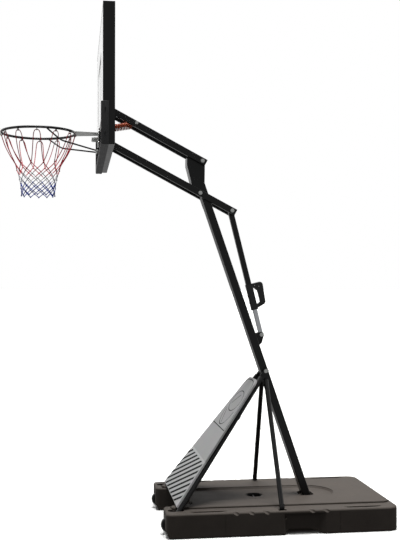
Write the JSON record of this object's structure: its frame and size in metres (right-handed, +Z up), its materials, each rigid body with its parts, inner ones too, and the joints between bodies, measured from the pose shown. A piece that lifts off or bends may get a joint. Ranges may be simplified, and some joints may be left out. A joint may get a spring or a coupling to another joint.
{
  "type": "portable basketball hoop",
  "caption": "Portable basketball hoop: clear framed backboard and sprung ring on a parallelogram height-adjusting pole with a blow-moulded ballast tank on wheels.",
  "frame": {"origin": "on the ground, midway between the front of the ring and the rear end of the tank, on the plane of symmetry", "axes": "+Z up, +Y away from the court (the hoop faces -Y), +X across the court"},
  "size_m": [1.393, 2.4837, 3.163],
  "materials": {
    "tank_plastic": "blow-moulded HDPE, fine matte grain",
    "cap_plastic": "injection-moulded, satin",
    "black_steel": "gloss black powder coat",
    "zinc_steel": "bright zinc plate",
    "silver_tube": "galvanised tube",
    "grey_plastic": "light grey moulded panel, satin",
    "black_plastic": "glass-filled nylon, satin",
    "clear_acrylic": "clear acrylic sheet, polished",
    "pad_rubber": "moulded polyurethane pad, matte",
    "orange_spring": "orange-coated spring steel",
    "net_cord": "braided polyester net",
    "wheel_plastic": "moulded polypropylene wheel"
  },
  "bodies": {
    "stand": {"base_tank": "tank_plastic", "foot_bolts": "zinc_steel", "foot_bracket": "black_steel", "front_panel": "grey_plastic", "front_strut_left": "black_steel", "front_strut_right": "black_steel", "head_bolts": "zinc_steel", "head_plate_left": "black_steel", "head_plate_right": "black_steel", "head_spacers": "zinc_steel", "head_web": "zinc_steel", "panel_clips": "zinc_steel", "pivot_nuts": "zinc_steel", "pole_lower": "black_steel", "pole_splice": "silver_tube", "pole_upper": "black_steel", "side_strut_left": "black_steel", "side_strut_right": "black_steel", "strut_bolt": "zinc_steel", "strut_foot_bolts": "zinc_steel", "wheel_axles": "zinc_steel"},
    "lower_arms": {"lower_arm_left": "black_steel", "lower_arm_right": "black_steel", "lower_arm_caps": "black_plastic", "adjuster_top_bolt": "zinc_steel", "adjuster_spacers": "zinc_steel"},
    "upper_arms": {"upper_arm_left": "black_steel", "upper_arm_right": "black_steel", "upper_arm_caps": "black_plastic", "spring_bolt": "zinc_steel"},
    "board": {"board_frame": "black_steel", "clear_panel": "clear_acrylic", "board_pad": "pad_rubber", "pad_screws": "zinc_steel", "board_cross_bar": "black_steel", "board_bracket_left": "black_steel", "board_bracket_right": "black_steel", "board_pivot_bolts": "zinc_steel", "board_pivot_nuts": "zinc_steel", "spring_anchor": "zinc_steel", "rim_mount": "zinc_steel", "rim_mount_bolts": "zinc_steel", "rim_spring_bolts": "zinc_steel", "rim_springs": "zinc_steel", "rim_hinge_pin": "zinc_steel"},
    "spring": {"counter_spring": "orange_spring"},
    "rim": {"rim_ring": "black_steel", "net_hooks": "black_steel", "rim_plate": "zinc_steel", "rim_braces": "black_steel", "net": "net_cord"},
    "adjuster_tube": {"adjuster_outer": "black_steel", "adjuster_sleeve": "black_plastic", "handle_pins": "zinc_steel"},
    "adjuster_rod": {"adjuster_inner": "silver_tube"},
    "trigger": {"trigger": "black_plastic"},
    "lock_pawl": {"lock_pawl": "black_plastic"},
    "wheel_left": {"wheel_left": "wheel_plastic"},
    "wheel_right": {"wheel_right": "wheel_plastic"},
    "fill_cap": {"fill_cap": "cap_plastic"}
  },
  "joints": [
    {"name": "height_adjust", "type": "hinge", "parent": "stand", "child": "lower_arms", "pos_m": [0, 0.04209, 2.12682], "axis": [-1, 0, 0], "range_deg": [-19, 20]},
    {"name": "upper_arm_hinge", "type": "hinge", "parent": "stand", "child": "upper_arms", "pos_m": [0, 0.05709, 2.33682], "axis": [-1, 0, 0], "range_deg": [-19.5, 20.5]},
    {"name": "board_hinge", "type": "hinge", "parent": "upper_arms", "child": "board", "pos_m": [0, -0.53007, 2.64902], "axis": [-1, 0, 0], "range_deg": [-20.5, 19.5]},
    {"name": "spring_swing", "type": "hinge", "parent": "board", "child": "spring", "pos_m": [0, -0.53807, 2.54502], "axis": [-1, 0, 0], "range_deg": [-17, 18], "deforming": ["counter_spring"]},
    {"name": "rim_breakaway", "type": "hinge", "parent": "board", "child": "rim", "pos_m": [0, -0.62507, 2.39202], "axis": [1, 0, 0], "range_deg": [0, 12], "stiffness_Nm_per_rad": 300, "springref_deg": -20.05, "deforming": ["rim_springs"]},
    {"name": "adjuster_swing", "type": "hinge", "parent": "lower_arms", "child": "adjuster_tube", "pos_m": [0, 0.25311, 2.01462], "axis": [-1, 0, 0], "range_deg": [-24, 23]},
    {"name": "adjuster_slide", "type": "slide", "parent": "adjuster_tube", "child": "adjuster_rod", "axis": [0, 0.2429, -0.97], "range_m": [-0.0605, 0.0575]},
    {"name": "trigger_squeeze", "type": "hinge", "parent": "adjuster_tube", "child": "trigger", "pos_m": [0, 0.44104, 1.51944], "axis": [1, 0, 0], "range_deg": [0, 3.5], "stiffness_Nm_per_rad": 4, "springref_deg": -5.73},
    {"name": "pawl_release", "type": "hinge", "parent": "adjuster_tube", "child": "lock_pawl", "pos_m": [0, 0.4129, 1.52476], "axis": [1, 0, 0], "range_deg": [0, 10.5], "stiffness_Nm_per_rad": 0.2, "springref_deg": -11.46},
    {"name": "wheel_left_spin", "type": "hinge", "parent": "stand", "child": "wheel_left", "pos_m": [-0.338, -0.19383, 0.058], "axis": [1, 0, 0], "continuous": true},
    {"name": "wheel_right_spin", "type": "hinge", "parent": "stand", "child": "wheel_right", "pos_m": [0.338, -0.19383, 0.058], "axis": [1, 0, 0], "continuous": true},
    {"name": "fill_cap_lift", "type": "slide", "parent": "stand", "child": "fill_cap", "axis": [0, 0, 1], "range_m": [0, 0.06]}
  ],
  "couplings": [
    {"joint": "upper_arm_hinge", "follows": "height_adjust", "ratio": 1},
    {"joint": "board_hinge", "follows": "height_adjust", "ratio": -1},
    {"joint": "spring_swing", "follows": "height_adjust", "ratio": 0.87},
    {"joint": "adjuster_swing", "follows": "height_adjust", "ratio": -1.188},
    {"joint": "adjuster_slide", "follows": "height_adjust", "m_per_rad": -0.17074},
    {"joint": "pawl_release", "follows": "trigger_squeeze", "ratio": 3}
  ]
}
